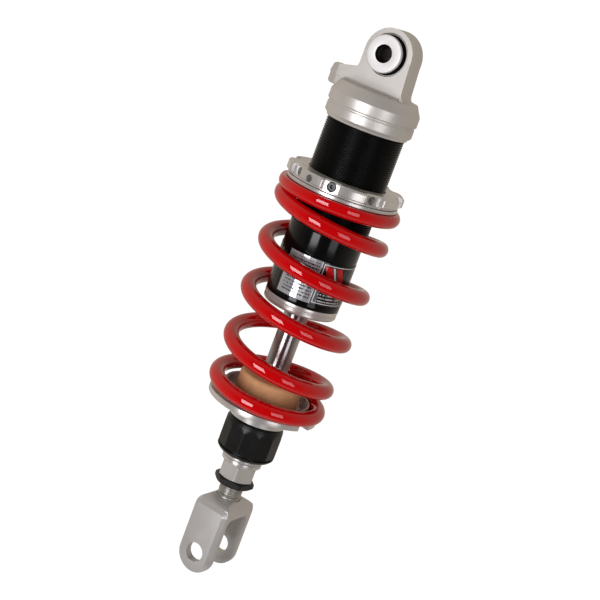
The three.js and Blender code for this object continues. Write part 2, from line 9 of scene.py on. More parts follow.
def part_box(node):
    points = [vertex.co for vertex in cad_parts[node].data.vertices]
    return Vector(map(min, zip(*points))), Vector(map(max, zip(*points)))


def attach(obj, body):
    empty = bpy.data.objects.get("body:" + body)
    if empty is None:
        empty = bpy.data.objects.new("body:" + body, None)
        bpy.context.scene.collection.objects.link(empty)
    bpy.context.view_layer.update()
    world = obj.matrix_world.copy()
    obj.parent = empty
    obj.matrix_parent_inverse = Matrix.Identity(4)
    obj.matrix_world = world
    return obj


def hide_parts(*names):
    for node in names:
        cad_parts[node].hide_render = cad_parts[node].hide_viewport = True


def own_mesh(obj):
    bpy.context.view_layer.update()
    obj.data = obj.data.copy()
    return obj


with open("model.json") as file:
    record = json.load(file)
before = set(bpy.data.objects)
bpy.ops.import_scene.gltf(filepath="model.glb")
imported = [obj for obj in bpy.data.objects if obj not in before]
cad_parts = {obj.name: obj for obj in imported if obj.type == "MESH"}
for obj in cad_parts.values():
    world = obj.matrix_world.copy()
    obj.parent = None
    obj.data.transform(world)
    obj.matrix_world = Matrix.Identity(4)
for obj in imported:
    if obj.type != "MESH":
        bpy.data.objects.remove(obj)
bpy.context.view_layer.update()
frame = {"nodes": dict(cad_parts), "record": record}

# Coil-over rear shock absorber. Lengths here are millimetres; MM turns them into the frame's metres.
MM = 0.001
TAU = 2 * math.pi
RECORD = frame["record"]
BODY_OF = {node: body for body, nodes in RECORD["behaviour"]["bodies"].items() for node in nodes}
SLOT_OF = {part["node"]: part["material_slot"] for part in RECORD["subparts"]}

VIEW_AZIMUTH = 26.0      # degrees round from -Y toward +X
VIEW_ELEVATION = 14.0
VIEW_ROLL = 20.55
VIEW_DISTANCE = 854.0
VIEW_LENS, VIEW_SENSOR, VIEW_NEAR = 81.0, 36, 10
AIM_HEIGHT = -162.0      # on the damper's axis
AIM_SIDE = -1.1
SOFTBOX_DISTANCE, SOFTBOX_WIDTH = 1.5, 0.6   # metres
SOFTBOX_TOP, SOFTBOX_BOTTOM = 0.4, -0.6      # metres
SOFTBOX_TINT = (0.98, 0.965, 1.0)
KEY_AZIMUTH, FILL_AZIMUTH = -26.0, 32.0      # counted from the view's
KEY_POWER, FILL_POWER = 18, 5.6              # watts
ROOM_FRONT, ROOM_REAR, ROOM_TINT = 0.04, 0.55, (1.0, 0.9, 0.78, 1)
ROOM_SPREAD = (-0.75, 0.25)                  # cosines between which the room grows brighter
BACKDROP = 1.05                              # brightness of the white that the camera sees
FLOOR_HEIGHT, FLOOR_RADIUS, FLOOR_TINT, FLOOR_ROUGH = -900.0, 500.0, (0.85, 0.85, 0.84, 1), 0.9

WELD = 2e-6              # metres; points closer than this become one
CORNER_SHARE = 0.45      # the most of an edge that a rounded corner takes
LEAST_MITRE = 0.5        # keeps chamfers short at sharp corners
BEVEL_SMOOTHING, THREAD_SMOOTHING = 12, 60   # degrees
SOCKET_TOP = 37          # above every piece with a hexagon socket, as it is drawn
OVERHANG = 5             # how far a cutter sticks out beyond the fork
THREAD_GAP = 0.05        # between a thread's end and the plain part that goes on from it
ROUND_AXIS = 0.25        # turns; sets the grooves of a ground surface round its axis
THREAD_FLAT, THREAD_FLANK, THREAD_RUNOUT = 1.35, 3.6, 0.25


def size(node):
    """(lowest z, highest z, greatest x) of a CAD node, in millimetres."""
    low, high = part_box(node)
    return low.z / MM, high.z / MM, high.x / MM


# ---------------- mesh helpers


def new_object(name, points, faces, smooth_angle=40):
    """A mesh object from points in millimetres, with outward faces and soft shading."""
    mesh = bpy.data.meshes.new(name)
    mesh.from_pydata([[c * MM for c in p] for p in points], [], faces)
    work = bmesh.new()
    work.from_mesh(mesh)
    bmesh.ops.remove_doubles(work, verts=work.verts, dist=WELD)
    bmesh.ops.recalc_face_normals(work, faces=work.faces)
    work.to_mesh(mesh)
    work.free()
    piece = bpy.data.objects.new(name, mesh)
    bpy.context.scene.collection.objects.link(piece)
    return shaded(piece, smooth_angle)


def shaded(piece, angle=40):
    """Smooth shading that breaks at edges sharper than the angle."""
    piece.data.polygons.foreach_set("use_smooth", [True] * len(piece.data.polygons))
    piece.data.set_sharp_from_angle(angle=math.radians(angle))
    return piece


def applied(piece):
    """Turns a piece's modifiers into its mesh."""
    bpy.context.view_layer.update()
    evaluated = piece.evaluated_get(bpy.context.evaluated_depsgraph_get())
    mesh = bpy.data.meshes.new_from_object(evaluated)
    piece.modifiers.clear()
    piece.data = mesh
    return piece


def softened(outline, radius, steps=3, closed=True):
    """Rounds every corner of an outline with a short curve."""
    out = []
    count = len(outline)
    for i, corner in enumerate(outline):
        if not closed and i in (0, count - 1):
            out.append(corner)
            continue
        here = Vector(corner)
        before = Vector(outline[i - 1]) - here
        after = Vector(outline[(i + 1) % count]) - here
        start = here + before.normalized() * min(radius, CORNER_SHARE * before.length)
        end = here + after.normalized() * min(radius, CORNER_SHARE * after.length)
        for k in range(steps + 1):
            t = k / steps
            out.append(tuple((1 - t) ** 2 * start + 2 * t * (1 - t) * here + t * t * end))
    return out


def revolved(name, outline, sides=128, edge=0.25, shape=None, smooth_angle=40):
    """Turns an outline of (radius, z) about Z. shape(radius, z, angle) may move each point."""
    on_axis = outline[0][0] == 0 and outline[-1][0] == 0
    path = softened(outline, edge, closed=not on_axis) if edge else list(outline)
    points = []
    for i in range(sides):
        angle = TAU * i / sides
        for radius, z in path:
            r, h = shape(radius, z, angle) if shape else (radius, z)
            points.append((r * math.cos(angle), r * math.sin(angle), h))
    count = len(path)
    last = count - 1 if on_axis else count
    faces = []
    for i in range(sides):
        j = (i + 1) % sides
        for k in range(last):
            n = (k + 1) % count
            faces.append((i * count + k, j * count + k, j * count + n, i * count + n))
    return new_object(name, points, faces, smooth_angle)


def walls(rings, count):
    """Faces that join rings of count points, each ring to the next."""
    faces = []
    for base in range(0, (rings - 1) * count, count):
        for i in range(count):
            j = (i + 1) % count
            faces.append((base + i, base + j, base + count + j, base + count + i))
    return faces


def extruded(name, outline, low, high, basis, inset=0.0):
    """Extrudes a flat outline along Z, chamfers its two ends by inset, then turns it by basis."""
    levels = [(low, 0), (high, 0)]
    if inset:
        levels = [(low, inset), (low + inset, 0), (high - inset, 0), (high, inset)]
    count = len(outline)
    points = []
    for level, shrink in levels:
        for i in range(count):
            here = Vector(outline[i])
            before = (here - Vector(outline[i - 1])).normalized()
            after = (Vector(outline[(i + 1) % count]) - here).normalized()
            normal = Vector((before.y + after.y, -before.x - after.x)).normalized()
            stretch = shrink / max(LEAST_MITRE, normal.dot(Vector((after.y, -after.x))))
            flat = here - normal * stretch
            points.append(tuple(basis @ Vector((flat.x, flat.y, level))))
    first_of_last = (len(levels) - 1) * count
    ends = [tuple(range(count)), tuple(reversed(range(first_of_last, first_of_last + count)))]
    return new_object(name, points, ends + walls(len(levels), count))


ALONG_Z = Matrix.Identity(3)
ALONG_Y = Matrix(((1, 0, 0), (0, 0, -1), (0, 1, 0)))     # outline in X, Z
ALONG_X = Matrix(((0, 0, 1), (1, 0, 0), (0, 1, 0)))      # outline in Y, Z


def combined(piece, other, operation):
    """Joins, cuts or crosses two pieces; the other one is used up."""
    step = piece.modifiers.new(operation, "BOOLEAN")
    step.object = other
    step.operation = operation
    step.solver = "EXACT"
    applied(piece)
    bpy.data.objects.remove(other)
    return piece


def bevelled(piece, width, segments=3, angle=28):
    """Rounds the edges of a cut or joined piece."""
    step = piece.modifiers.new("bevel", "BEVEL")
    step.width = width * MM
    step.segments = segments
    step.limit_method = "ANGLE"
    step.angle_limit = math.radians(angle)
    step.miter_outer = "MITER_ARC"
    step.use_clamp_overlap = True
    return shaded(applied(piece), BEVEL_SMOOTHING)


def arc(cx, cy, radius, start, end, steps=24):
    """Points of an arc, angles in degrees."""
    angles = [math.radians(start + (end - start) * i / steps) for i in range(steps + 1)]
    return [(cx + radius * math.cos(a), cy + radius * math.sin(a)) for a in angles]


def ring_outline(inner, outer, low, high):
    """A plain rectangle in (radius, z)."""
    return [(inner, high), (outer, high), (outer, low), (inner, low)]


def hexagon_cutter(reach, low):
    """Cuts a hexagon socket down to a height; reach is the distance to its corners."""
    return revolved("socket", [(0, low), (reach, low), (reach, SOCKET_TOP), (0, SOCKET_TOP)], 6, edge=0)


def bolt_hole(radius, length, direction, start=(0, 0, 0), sides=64):
    """A round cutter along a direction."""
    cutter = revolved("cutter", [(0, 0), (radius, 0), (radius, length), (0, length)], sides, edge=0)
    turn = Vector((0, 0, 1)).rotation_difference(Vector(direction)).to_matrix().to_4x4()
    cutter.data.transform(Matrix.Translation(Vector(start) * MM) @ turn)
    return cutter


def polygon_radius(angle, flats, apothem, offset=0.0, corner=None):
    """Distance from the axis to a regular polygon's side, its corners trimmed to a radius."""
    step = TAU / flats
    inside = (angle - offset + step / 2) % step - step / 2
    reach = apothem / math.cos(inside)
    return min(reach, corner) if corner else reach


def threaded(name, radius, pitch, depth, bottom, top, inner, sides=96, rows=9, fade=1.0):
    """A bar or tube with a real right-hand screw thread outside that fades out at both ends."""
    points = []
    count = int((top - bottom) / pitch * rows) + 1
    for k in range(count + 1):
        z = bottom + (top - bottom) * k / count
        full = max(0.0, min(1.0, (z - bottom) / fade, (top - z) / fade))
        for i in range(sides):
            angle = TAU * i / sides
            phase = (z / pitch - angle / TAU) % 1.0
            crest = min(1.0, max(0.0, THREAD_FLAT - abs(phase - 0.5) * THREAD_FLANK))
            r = radius - depth + depth * crest * full - THREAD_RUNOUT * (1 - full)
            points.append((r * math.cos(angle), r * math.sin(angle), z))
    faces = walls(count + 1, sides)
    inside = len(points)
    for z in (bottom, top):
        points += [(inner * math.cos(TAU * i / sides), inner * math.sin(TAU * i / sides), z)
                   for i in range(sides)]
    for outer_ring, inner_ring in ((0, inside), (count * sides, inside + sides), (inside, inside + sides)):
        for i in range(sides):
            j = (i + 1) % sides
            faces.append((outer_ring + i, outer_ring + j, inner_ring + j, inner_ring + i))
    return new_object(name, points, faces, THREAD_SMOOTHING)


# ---------------- materials

MOTTLE = (0.3, 0.7)      # noise values at which the dark and the light tone are full
COAT_ROUGHNESS = 0.03
GREY = ((0.57, 0.545, 0.51), (0.63, 0.605, 0.57))
BLACK = ((0.002, 0.002, 0.002), (0.004, 0.004, 0.004))
CAST = dict(tones=GREY, rough=(0.36, 0.42), metallic=0.55, grain=(3200, 0.015), patch=35, specular=0.3)
FINISHES = {
    "cast_satin": CAST,
    "forged_satin": dict(CAST, tones=((0.54, 0.525, 0.51), (0.60, 0.585, 0.57))),
    # collar_satin paints the faces round the bolt bore black: painted shadow of the eye's hole, not the
    # metal's colour
    "collar_satin": dict(
        tones=((0.7, 0.69, 0.68), (0.76, 0.75, 0.74)), rough=(0.5, 0.58), metallic=0.6,
        grain=(2500, 0.004), patch=35, specular=0.3, painted_bore_shade=5.6),
    "turned_aluminium": dict(
        tones=((0.60, 0.58, 0.555), (0.67, 0.65, 0.625)), rough=(0.28, 0.36), metallic=0.65,
        grain=(2500, 0.004), patch=30, turned=(2600, 0.003), specular=0.3, ground=0.7),
    "black_anodised": dict(
        tones=BLACK, rough=(0.26, 0.34), grain=(2600, 0.003), patch=50, specular=0.13),
    "black_gloss": dict(
        tones=BLACK, rough=(0.1, 0.14), grain=(2600, 0.0006), patch=50, specular=0.24),
    "red_coat": dict(
        tones=((0.50, 0.0008, 0.002), (0.56, 0.001, 0.003)), rough=(0.45, 0.55), grain=(420, 0.001),
        patch=45, coat=1.0, specular=0.0),
    "hard_chrome": dict(
        tones=((0.40, 0.385, 0.39), (0.46, 0.445, 0.45)), rough=(0.26, 0.3), metallic=1.0,
        grain=(1500, 0.0006), patch=40, ground=0.9),
    "plated_steel": dict(
        tones=((0.36, 0.35, 0.33), (0.46, 0.45, 0.42)), rough=(0.34, 0.42), metallic=0.8,
        grain=(2400, 0.004), specular=0.3),
    "knob_black": dict(
        tones=BLACK, rough=(0.3, 0.38), grain=(2600, 0.001), patch=50, specular=0.35),
    "dull_steel": dict(
        tones=((0.13, 0.13, 0.13), (0.18, 0.18, 0.18)), rough=(0.5, 0.6), metallic=0.3,
        grain=(2400, 0.004), specular=0.2),
    "black_oxide": dict(
        tones=((0.006, 0.006, 0.007), (0.012, 0.012, 0.012)), rough=(0.34, 0.46), metallic=0.2,
        grain=(2000, 0.01), patch=80, specular=0.4),
    "bronze": dict(tones=((0.42, 0.28, 0.12), (0.52, 0.36, 0.17)), rough=(0.3, 0.45), metallic=1.0),
    "black_rubber": dict(
        tones=((0.004, 0.004, 0.004), (0.008, 0.008, 0.008)), rough=(0.6, 0.8), grain=(1800, 0.02),
        specular=0.2),
    "tan_foam": dict(
        tones=((0.50, 0.25, 0.115), (0.60, 0.33, 0.16)), rough=(0.6, 0.8), grain=(900, 0.04), patch=120,
        specular=0.3),
    "white_plastic": dict(tones=((0.7, 0.69, 0.65), (0.78, 0.77, 0.73)), rough=(0.4, 0.55)),
}
FOIL_METAL, PANEL_METAL = 0.5, 0.05
FOIL_LOOK = dict(
    tones=((0.42, 0.43, 0.45), (0.5, 0.51, 0.53)), rough=(0.16, 0.24), metallic=FOIL_METAL,
    grain=(1200, 0.002), patch=90)


def link(tree, source, target):
    """Joins an output to an input."""
    tree.links.new(source, target)


def node(tree, kind, **settings):
    """A new shader node with its properties set."""
    made = tree.nodes.new(kind)
    for key, value in settings.items():
        setattr(made, key, value)
    return made


def noise(tree, vector, scale, detail=3.0, rough=0.55):
    """Fractal noise, about 0.25 to 0.75."""
    made = node(tree, "ShaderNodeTexNoise")
    made.inputs["Scale"].default_value = scale
    made.inputs["Detail"].default_value = detail
    made.inputs["Roughness"].default_value = rough
    link(tree, vector, made.inputs["Vector"])
    return made.outputs["Fac"]


def spread(tree, value, low, high, start=0.25, end=0.75):
    """Maps a noise value onto a range."""
    made = node(tree, "ShaderNodeMapRange")
    made.inputs["From Min"].default_value = start
    made.inputs["From Max"].default_value = end
    made.inputs["To Min"].default_value = low
    made.inputs["To Max"].default_value = high
    link(tree, value, made.inputs["Value"])
    return made.outputs["Result"]


def colour_mix(tree, factor, first, second):
    """Two colours mottled by a noise value."""
    ramp = node(tree, "ShaderNodeValToRGB")
    for element, position, colour in zip(ramp.color_ramp.elements, MOTTLE, (first, second)):
        element.position = position
        element.color = (*colour, 1)
    link(tree, factor, ramp.inputs["Fac"])
    return ramp.outputs["Color"]


def bump(tree, height, distance, normal=None):
    """A normal raised by a height of up to distance, in millimetres."""
    made = node(tree, "ShaderNodeBump")
    made.inputs["Strength"].default_value = 1.0
    made.inputs["Distance"].default_value = distance * MM
    link(tree, height, made.inputs["Height"])
    if normal:
        link(tree, normal, made.inputs["Normal"])
    return made.outputs["Normal"]


def layer(tree, mask, below, above):
    """Colour below where the mask is 0 and above where it is 1."""
    blend = node(tree, "ShaderNodeMix", data_type="RGBA")
    link(tree, mask, blend.inputs["Factor"])
    for socket, colour in ((blend.inputs[6], below), (blend.inputs[7], above)):
        if isinstance(colour, tuple):
            socket.default_value = (*colour, 1)
        else:
            link(tree, colour, socket)
    return blend.outputs[2]


def maths(tree, operation, first, *others):
    """A Math node whose inputs are numbers or outputs."""
    made = node(tree, "ShaderNodeMath", operation=operation)
    for socket, value in zip(made.inputs, (first, *others)):
        if isinstance(value, (int, float)):
            socket.default_value = value
        else:
            link(tree, value, socket)
    return made.outputs["Value"]


def within(tree, value, low, high):
    """1 where the value lies between low and high."""
    return maths(tree, "COMPARE", value, (low + high) / 2, (high - low) / 2)


def lathe_lines(tree, place):
    """Coordinates that are the same all the way round the Z axis, so that noise becomes turning marks."""
    split = node(tree, "ShaderNodeSeparateXYZ")
    link(tree, place, split.inputs["Vector"])
    radius = node(tree, "ShaderNodeVectorMath", operation="LENGTH")
    flat = node(tree, "ShaderNodeCombineXYZ")
    link(tree, split.outputs["X"], flat.inputs["X"])
    link(tree, split.outputs["Y"], flat.inputs["Y"])
    link(tree, flat.outputs["Vector"], radius.inputs[0])
    made = node(tree, "ShaderNodeCombineXYZ")
    link(tree, radius.outputs["Value"], made.inputs["X"])
    link(tree, split.outputs["Z"], made.inputs["Z"])
    return made.outputs["Vector"]


def finish_material(name, tones, rough, metallic=0.0, grain=(2200, 0.012), patch=60,
                    turned=None, coat=0.0, specular=0.5, painted_bore_shade=None, ground=0.0):
    """A procedural surface: mottled colour and roughness, fine grain, optional turning marks.

    tones are its dark and light colour and rough is its range of roughness. grain and turned are a
    noise scale and a depth. The bore argument is a radius about Y within which the surface is painted
    black, a painted shadow that stands for the dark inside of the bore. ground is how strongly fine
    grooves round the Z axis draw reflections out along it.
    """
    made = bpy.data.materials.new(name)
    made.use_nodes = True
    tree = made.node_tree
    shader = tree.nodes["Principled BSDF"]
    place = node(tree, "ShaderNodeTexCoord").outputs["Object"]
    colour = colour_mix(tree, noise(tree, place, patch, 4), *tones)
    # Painted shade: within this radius about Y the colour is painted black, standing for the shadow inside
    # the bore
    if painted_bore_shade:
        across = node(tree, "ShaderNodeVectorMath", operation="MULTIPLY")
        link(tree, place, across.inputs[0])
        across.inputs[1].default_value = (1, 0, 1)
        reach = node(tree, "ShaderNodeVectorMath", operation="LENGTH")
        link(tree, across.outputs["Vector"], reach.inputs[0])
        outside = maths(tree, "GREATER_THAN", reach.outputs["Value"], painted_bore_shade * MM)
        colour = layer(tree, outside, BLACK[0], colour)
    link(tree, colour, shader.inputs["Base Color"])
    shader.inputs["Metallic"].default_value = metallic
    shader.inputs["Specular IOR Level"].default_value = specular
    shader.inputs["Coat Weight"].default_value = coat
    shader.inputs["Coat Roughness"].default_value = COAT_ROUGHNESS
    link(tree, spread(tree, noise(tree, place, patch * 3, 5), *rough), shader.inputs["Roughness"])
    normal = bump(tree, noise(tree, place, grain[0], 2), grain[1])
    if turned:
        marks = noise(tree, lathe_lines(tree, place), turned[0], 4, 0.7)
        normal = bump(tree, marks, turned[1], normal)
    link(tree, normal, shader.inputs["Normal"])
    if ground:
        grooves = node(tree, "ShaderNodeTangent", direction_type="RADIAL", axis="Z")
        link(tree, grooves.outputs["Tangent"], shader.inputs["Tangent"])
        shader.inputs["Anisotropic"].default_value = ground
        shader.inputs["Anisotropic Rotation"].default_value = ROUND_AXIS
    return made


# On the label, distances are millimetres round it from the split and up from its lower edge.
LABEL_BOTTOM, LABEL_TOP, LABEL_RADIUS = size("body_label")
LABEL_SPLIT = -51.0                          # world angle where the foil ends and the black starts
FOIL = (-24.2, -1)
FOIL_PRINT = (-21.5, -2.2, 1.6, 26)
FRAMES = ((0.2, 33, 11.4, 26.6), (0.2, 33, 1.2, 10.2))
FRAME_LINE = 0.5
SMALL_PRINT = (2.4, 22, 2.6, 9)
LINE_PITCH, LINE_BAND, DASH_PITCH, DASH_SCALE, DASH_LEVEL = 2.1, (0.2, 0.62), 1.15, 1.9, 0.47
BAR_SLANT, BAR_BOTTOM, BAR_TOP = 0.45, 12.6, 25.4
RED_INK, WHITE_INK = (0.55, 0.004, 0.008), (0.6, 0.6, 0.6)
FRAME_INK, SMALL_INK = (0.62, 0.62, 0.62), (0.5, 0.5, 0.5)
DARK_INK, PANEL_BLACK = (0.012, 0.012, 0.014), (0.004, 0.004, 0.005)
BARS = ((12.6, 4.6, RED_INK), (20.4, 4.6, RED_INK), (17.9, 1.6, WHITE_INK))


def label_material(name):
    """Silver foil with rows of dashes beside a black panel with white outlines and slanted bars."""
    made = finish_material(name, **FOIL_LOOK)
    tree = made.node_tree
    shader = tree.nodes["Principled BSDF"]
    place = node(tree, "ShaderNodeTexCoord").outputs["Object"]
    split = node(tree, "ShaderNodeSeparateXYZ")
    link(tree, place, split.inputs["Vector"])
    angle = maths(tree, "ARCTAN2", split.outputs["Y"], split.outputs["X"])
    around = maths(tree, "MULTIPLY_ADD", angle, LABEL_RADIUS, math.radians(LABEL_SPLIT) * -LABEL_RADIUS)
    height = maths(tree, "MULTIPLY_ADD", split.outputs["Z"], 1 / MM, -LABEL_BOTTOM)

    def panel(left, right, bottom, top, along=around):
        return maths(tree, "MULTIPLY", within(tree, along, left, right), within(tree, height, bottom, top))

    line = maths(tree, "DIVIDE", height, LINE_PITCH)
    rows = within(tree, maths(tree, "FRACT", line), *LINE_BAND)
    cell = node(tree, "ShaderNodeCombineXYZ")
    link(tree, maths(tree, "MULTIPLY", around, DASH_PITCH), cell.inputs["X"])
    link(tree, maths(tree, "FLOOR", line), cell.inputs["Y"])
    dashes = maths(tree, "GREATER_THAN", noise(tree, cell.outputs["Vector"], DASH_SCALE, 1), DASH_LEVEL)
    print_mask = maths(tree, "MULTIPLY", rows, dashes)
    silver = shader.inputs["Base Color"].links[0].from_socket
    colour = layer(tree, maths(tree, "MULTIPLY", print_mask, panel(*FOIL_PRINT)), silver, DARK_INK)
    black = maths(tree, "SUBTRACT", 1, within(tree, around, *FOIL))
    colour = layer(tree, black, colour, PANEL_BLACK)
    for left, right, bottom, top in FRAMES:
        colour = layer(tree, panel(left, right, bottom, top), colour, FRAME_INK)
        inside = panel(left + FRAME_LINE, right - FRAME_LINE, bottom + FRAME_LINE, top - FRAME_LINE)
        colour = layer(tree, inside, colour, PANEL_BLACK)
    slant = maths(tree, "MULTIPLY_ADD", height, BAR_SLANT, around)
    for start, width, ink in BARS:
        colour = layer(tree, panel(start, start + width, BAR_BOTTOM, BAR_TOP, slant), colour, ink)
    colour = layer(tree, maths(tree, "MULTIPLY", print_mask, panel(*SMALL_PRINT)), colour, SMALL_INK)
    link(tree, colour, shader.inputs["Base Color"])
    metal = maths(tree, "MULTIPLY_ADD", black, PANEL_METAL - FOIL_METAL, FOIL_METAL)
    link(tree, metal, shader.inputs["Metallic"])
    return made


MATERIALS = {finish: finish_material(finish, **look) for finish, look in FINISHES.items()}
MATERIALS["label_foil"] = label_material("label_foil")


def stand_for(piece, node_name, finish=None):
    """The piece stands for a CAD node, moves with that node's body and takes its material slot."""
    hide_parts(node_name)
    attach(piece, BODY_OF[node_name])
    piece.data.materials.clear()
    piece.data.materials.append(MATERIALS[finish or SLOT_OF[node_name]])
    return piece


# ---------------- upper eye and top cap

EYE_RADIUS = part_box("top_cap")[1].z / MM
EYE_BORE, EYE_CUT = 13.1, 40
LUG_HALF = 7.5           # half the lug's thickness, and the radius of the gas boss
LUG_FOOT = 21.6          # reach of the lug's flared foot to +X
LUG_FILLET, FILLET_LEFT, FILLET_RIGHT = 1.8, -22.0, 17.5
CAP_BOTTOM, _, CAP_RADIUS = size("top_cap")
CAP_TOP, CAP_TOP_RADIUS, CAP_SHOULDER = -22.9, 24.9, -29.7
CAP_SKIRT, CAP_GROOVE, CAP_BORE, CAP_ROOF = 28.1, 27.7, 25.3, -31
GROOVE_TOP, GROOVE_BOTTOM, SKIRT_END, LIP_OUTER = -36.3, -37.3, -43, 25.9
SUNK = CAP_TOP - 1.5     # how far the lug reaches into the cap
BOSS_REACH, BOSS_TOP, BOSS_STEP = -28.8, -15.7, -22.2
WAIST_BOTTOM, WAIST_NARROW, WAIST_CHAMFER, WAIST_ROOT = -28.8, 0.7, 1.2, -18
PORT_HEIGHT, PORT_RADIUS, PORT_END, PORT_CUT = -19.0, 3.1, -21.5, 20
CAST_EDGE = 0.4


def lug_outline():
    """Eye lug in X, Z: round top, nearly straight sides and the gas boss's upper half to -X."""
    right = [
        (EYE_RADIUS, -2), (17.5, -18.7), (17.9, -20.4), (19.0, -21.8), (20.4, -22.6), (LUG_FOOT, CAP_TOP)]
    under = [
        (LUG_FOOT, SUNK), (-24, SUNK), (-24, BOSS_STEP), (BOSS_REACH, BOSS_STEP), (BOSS_REACH, BOSS_TOP)]
    left = [(-17.9, -13), (-17.1, -12.8), (-16.5, -12.1), (-EYE_RADIUS, -11)]
    return right + under + left + arc(0, 0, EYE_RADIUS, 180, 0, 48)


def lug_fillet(side):
    """A strip along X that fills the corner between the lug's face and the cap with a hollow curve."""
    inside = LUG_HALF - 1
    centre = (LUG_HALF + LUG_FILLET, CAP_TOP + LUG_FILLET)
    corner = [(inside, CAP_TOP - 0.5), (centre[0], CAP_TOP - 0.5)]
    outline = corner + arc(*centre, LUG_FILLET, 270, 180, 10) + [(inside, centre[1])]
    strip = [(side * y, z) for y, z in outline]
    return extruded("fillet", strip, FILLET_LEFT, FILLET_RIGHT, ALONG_X)


def boss_end():
    """The round end of the gas boss, its upper edge well rounded."""
    brow = [(LUG_HALF - 2.4, BOSS_TOP), (LUG_HALF - 1.5, BOSS_TOP - 0.9), (LUG_HALF - 0.7, BOSS_TOP - 2.4)]
    outline = [(0, BOSS_TOP), *brow, (LUG_HALF, BOSS_TOP - 5), (LUG_HALF, BOSS_STEP), (0, BOSS_STEP)]
    end = revolved("boss_end", outline, 64, edge=0.2)
    end.data.transform(Matrix.Translation((BOSS_REACH * MM, 0, 0)))
    return end


def boss_waist():
    """The narrower lower half of the gas boss."""
    half = LUG_HALF * WAIST_NARROW
    outline = [(BOSS_REACH + x, y * WAIST_NARROW) for x, y in arc(0, 0, LUG_HALF, 90, 270, 32)]
    outline += [(WAIST_ROOT, -half), (WAIST_ROOT, half)]
    return extruded("waist", outline, WAIST_BOTTOM, BOSS_STEP + 2, ALONG_Z, WAIST_CHAMFER)


def make_top_cap():
    """The turned cap with the lug and the gas boss joined to it, then drilled across."""
    head = [
        (0, CAP_TOP), (CAP_TOP_RADIUS, CAP_TOP), (CAP_RADIUS, CAP_SHOULDER), (CAP_RADIUS, GROOVE_TOP + 0.5),
        (CAP_GROOVE, GROOVE_TOP), (CAP_GROOVE, GROOVE_BOTTOM), (CAP_SKIRT, GROOVE_BOTTOM - 0.4),
        (CAP_SKIRT, SKIRT_END), (LIP_OUTER + 0.4, SKIRT_END - 1.6), (LIP_OUTER, CAP_BOTTOM),
        (CAP_BORE, CAP_BOTTOM), (CAP_BORE, CAP_ROOF), (0, CAP_ROOF)]
    cap = revolved("top_cap_fine", head, 160, edge=0.35)
    slab = extruded("slab", list(reversed(lug_outline())), -LUG_HALF, LUG_HALF, ALONG_Y)
    for piece in (boss_waist(), slab, boss_end(), lug_fillet(1), lug_fillet(-1)):
        combined(cap, piece, "UNION")
    combined(cap, bolt_hole(EYE_BORE, EYE_CUT, (0, -1, 0), (0, EYE_CUT / 2, 0)), "DIFFERENCE")
    combined(cap, bolt_hole(PORT_RADIUS, PORT_CUT, (-1, 0, 0), (PORT_END, 0, PORT_HEIGHT)), "DIFFERENCE")
    stand_for(bevelled(cap, CAST_EDGE), "top_cap")


def turned_to_y(piece):
    """Lays a piece that was turned about Z along Y."""
    piece.data.transform(Matrix.Rotation(math.pi / 2, 4, "X"))
    return piece


BOLT, SLEEVE, SLEEVE_HALF = 5.2, 8.2, 7
COLLAR, COLLAR_FACE, COLLAR_NECK, COLLAR_INNER = 11.5, 13.5, 10, 7.3
RUBBER_INNER, RUBBER_OUTER, RUBBER_HALF, RUBBER_RIM = 8.5, 11.9, 6.7, 6.3
SHELL_INNER, SHELL_OUTER, SHELL_HALF = 12.15, 12.8, 7.2


def make_eye():
    """The rubber bush in the eye, drawn with Z along the bolt and then laid along Y."""
    collar = [
        (BOLT, COLLAR_FACE), (COLLAR - 0.4, COLLAR_FACE), (COLLAR, COLLAR_FACE - 0.4), (COLLAR, 11.5),
        (COLLAR_NECK, 8.5), (COLLAR_NECK, COLLAR_INNER), (BOLT, COLLAR_INNER)]
    for name, turn in (("eye_collar_front", 0), ("eye_collar_rear", math.pi)):
        piece = turned_to_y(revolved(name + "_fine", collar, 96, edge=0.25))
        piece.data.transform(Matrix.Rotation(turn, 4, "Z"))
        stand_for(piece, name, "collar_satin")

    outline = ring_outline(BOLT, SLEEVE, -SLEEVE_HALF, SLEEVE_HALF)
    sleeve = turned_to_y(revolved("eye_inner_sleeve_fine", outline, 96, edge=0.15))
    stand_for(sleeve, "eye_inner_sleeve", "collar_satin")

    upper = [
        (RUBBER_INNER, RUBBER_HALF), (9.6, 5.6), (11.0, 5.4), (RUBBER_OUTER - 0.1, RUBBER_RIM),
        (RUBBER_OUTER, RUBBER_RIM)]
    rubber = upper + [(radius, -z) for radius, z in reversed(upper)]
    stand_for(turned_to_y(revolved("eye_bush_rubber_fine", rubber, 96)), "eye_bush_rubber")

    shell = ring_outline(SHELL_INNER, SHELL_OUTER, -SHELL_HALF, SHELL_HALF)
    stand_for(turned_to_y(revolved("eye_bush_shell_fine", shell, 96, edge=0.15)), "eye_bush_shell")


PLUG_FACE, PLUG_END, PLUG_SOCKET, PLUG_HEX = 35.4, 24, 32.6, 1.44


def make_gas_plug():
    """The plug with a hexagon socket, drawn upright and then laid along -X."""
    radius = PORT_RADIUS - 0.2
    place = Matrix.Translation((0, 0, PORT_HEIGHT * MM)) @ Matrix.Rotation(-math.pi / 2, 4, "Y")
    outline = [
        (0, PLUG_FACE), (radius - 0.4, PLUG_FACE), (radius, PLUG_FACE - 0.4), (radius, PLUG_END),
        (0, PLUG_END)]
    plug = revolved("gas_plug_fine", outline, 64, edge=0.15)
    plug.data.transform(place)
    socket = hexagon_cutter(PLUG_HEX, PLUG_SOCKET)
    socket.data.transform(place)
    stand_for(bevelled(combined(plug, socket, "DIFFERENCE"), 0.1, 2), "gas_plug")


# ---------------- damper body

TUBE_BOTTOM, TUBE_TOP, THREAD_RADIUS = size("body_tube")
THREAD_PITCH, THREAD_DEPTH, THREAD_END = 1.5, 0.8, -112.5
SMOOTH_RADIUS, RECESS_RADIUS, BORE_RADIUS = 24.3, 24, 22.0
RECESS_TOP, RECESS_BOTTOM = LABEL_TOP + 0.3, LABEL_BOTTOM - 0.3


